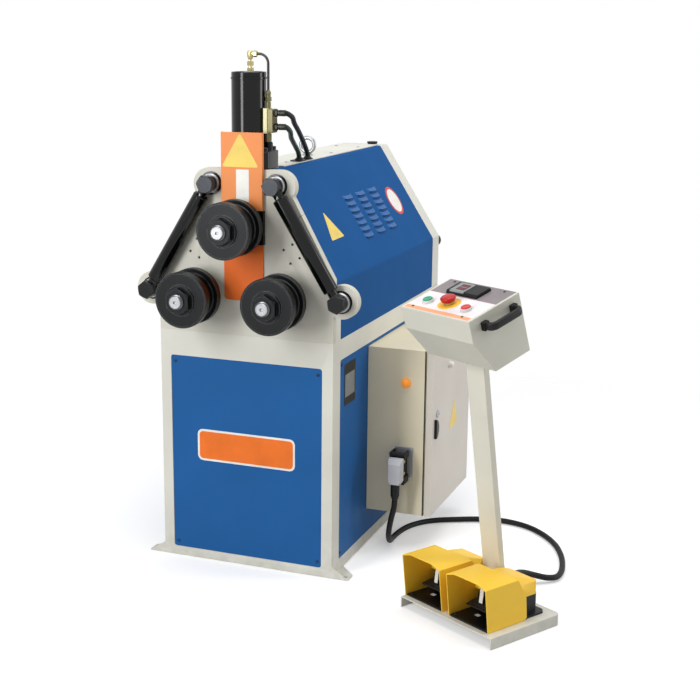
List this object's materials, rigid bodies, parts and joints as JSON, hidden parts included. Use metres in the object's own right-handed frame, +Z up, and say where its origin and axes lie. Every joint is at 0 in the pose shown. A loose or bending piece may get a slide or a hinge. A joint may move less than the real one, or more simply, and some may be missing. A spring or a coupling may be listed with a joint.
{
  "type": "hydraulic roll bender",
  "caption": "Floor-standing hydraulic three-roll bender for sections and tubes, with a louvred drive hood, side electric enclosure and a separate control pedestal with foot pedals.",
  "frame": {"origin": "middle of the front foot angle's flat underside, on the floor", "axes": "+Z up; +X to the machine's right as the operator faces the rolls; +Y from the rolls towards the rear cap"},
  "size_m": [1.2591, 1.3371, 1.4656],
  "materials": {
    "cream_paint": "satin light cream powder coat",
    "blue_paint": "satin blue powder coat",
    "orange_paint": "satin orange powder coat",
    "yellow_paint": "satin safety yellow powder coat",
    "black_paint": "gloss black paint",
    "beige_paint": "satin beige powder coat",
    "grey_paint": "satin grey paint",
    "black_steel": "blackened and oiled steel",
    "bright_steel": "ground and bright zinc-plated steel",
    "brass": "yellow-passivated fittings",
    "rubber": "black rubber hose and cable sheath",
    "black_plastic": "moulded black plastic",
    "grey_plastic": "moulded light grey plastic",
    "green_plastic": "moulded green button",
    "red_plastic": "moulded red button",
    "orange_plastic": "translucent orange lens"
  },
  "bodies": {
    "machine": {"cabinet_frame": "cream_paint", "head_housing": "cream_paint", "top_cover": "cream_paint", "rear_cap": "cream_paint", "pedestal_base": "cream_paint", "pedestal_post": "cream_paint", "control_box": "cream_paint", "front_panel": "blue_paint", "rear_panel": "blue_paint", "right_panel": "blue_paint", "left_panel": "blue_paint", "hood_right": "blue_paint", "hood_left": "blue_paint", "left_pedal_guard": "yellow_paint", "right_pedal_guard": "yellow_paint", "cylinder": "black_paint", "left_tie_bar": "black_paint", "right_tie_bar": "black_paint", "electric_box": "beige_paint", "gearmotor": "grey_paint", "power_pack": "grey_paint", "left_lower_bolt": "black_steel", "right_lower_bolt": "black_steel", "left_upper_bolt": "black_steel", "right_upper_bolt": "black_steel", "hose_inlet": "black_steel", "lifting_eye": "bright_steel", "pressure_pipe": "brass", "valve_block": "brass", "hose_upper": "rubber", "hose_lower": "rubber", "cable": "rubber", "rear_knob": "black_plastic", "breather_cap": "black_plastic", "socket_housing": "black_plastic", "grab_handle": "black_plastic", "left_pedal_switch": "black_plastic", "right_pedal_switch": "black_plastic", "cable_plug": "grey_plastic", "pilot_lamp": "orange_plastic"},
    "ram_unit": {"ram": "black_steel", "ram_cover_upper": "orange_paint", "ram_cover_lower": "orange_paint", "piston_rod": "bright_steel"},
    "top_roller": {"top_shaft": "bright_steel", "top_roll": "black_steel", "top_nut": "black_steel"},
    "left_roller": {"left_shaft": "bright_steel", "left_roll": "black_steel", "left_nut": "black_steel"},
    "right_roller": {"right_shaft": "bright_steel", "right_roll": "black_steel", "right_nut": "black_steel"},
    "enclosure_door": {"electric_door": "beige_paint"},
    "door_latch": {"door_lock": "bright_steel"},
    "start_key": {"start_button": "green_plastic"},
    "stop_key": {"stop_button": "red_plastic"},
    "stop_mushroom": {"emergency_stop": "red_plastic"},
    "left_foot_pedal": {"left_pedal": "black_plastic"},
    "right_foot_pedal": {"right_pedal": "black_plastic"}
  },
  "joints": [
    {"name": "ram_slide", "type": "slide", "parent": "machine", "child": "ram_unit", "axis": [0, 0, 1], "range_m": [-0.1, 0.02]},
    {"name": "top_spin", "type": "hinge", "parent": "ram_unit", "child": "top_roller", "pos_m": [0, 0, 0.9965], "axis": [0, 1, 0], "continuous": true},
    {"name": "left_spin", "type": "hinge", "parent": "machine", "child": "left_roller", "pos_m": [-0.1276, 0, 0.8005], "axis": [0, 1, 0], "continuous": true},
    {"name": "right_spin", "type": "hinge", "parent": "machine", "child": "right_roller", "pos_m": [0.1276, 0, 0.8005], "axis": [0, 1, 0], "continuous": true},
    {"name": "door_swing", "type": "hinge", "parent": "machine", "child": "enclosure_door", "pos_m": [0.4435, 0.685, 0.36], "axis": [0, 0, 1], "range_deg": [0, 110]},
    {"name": "lock_turn", "type": "hinge", "parent": "enclosure_door", "child": "door_latch", "pos_m": [0.465, 0.3303, 0.416], "axis": [1, 0, 0], "range_deg": [0, 90]},
    {"name": "start_press", "type": "slide", "parent": "machine", "child": "start_key", "axis": [0.1515, 0.2597, -0.9537], "range_m": [0, 0.004], "stiffness_N_per_m": 1200, "springref_m": -0.001},
    {"name": "stop_press", "type": "slide", "parent": "machine", "child": "stop_key", "axis": [0.1515, 0.2597, -0.9537], "range_m": [0, 0.004], "stiffness_N_per_m": 1200, "springref_m": -0.001},
    {"name": "emergency_press", "type": "slide", "parent": "machine", "child": "stop_mushroom", "axis": [0.1515, 0.2597, -0.9537], "range_m": [0, 0.006]},
    {"name": "left_pedal_tilt", "type": "hinge", "parent": "machine", "child": "left_foot_pedal", "pos_m": [0.6234, -0.0743, 0.0713], "axis": [0.8637, -0.5039, 0], "range_deg": [0, 8], "stiffness_Nm_per_rad": 6, "springref_deg": -5.73},
    {"name": "right_pedal_tilt", "type": "hinge", "parent": "machine", "child": "right_foot_pedal", "pos_m": [0.7685, -0.1589, 0.0713], "axis": [0.8637, -0.5039, 0], "range_deg": [0, 8], "stiffness_Nm_per_rad": 6, "springref_deg": -5.73}
  ],
  "couplings": [
    {"joint": "right_spin", "follows": "left_spin", "ratio": 1},
    {"joint": "top_spin", "follows": "left_spin", "ratio": -1}
  ]
}
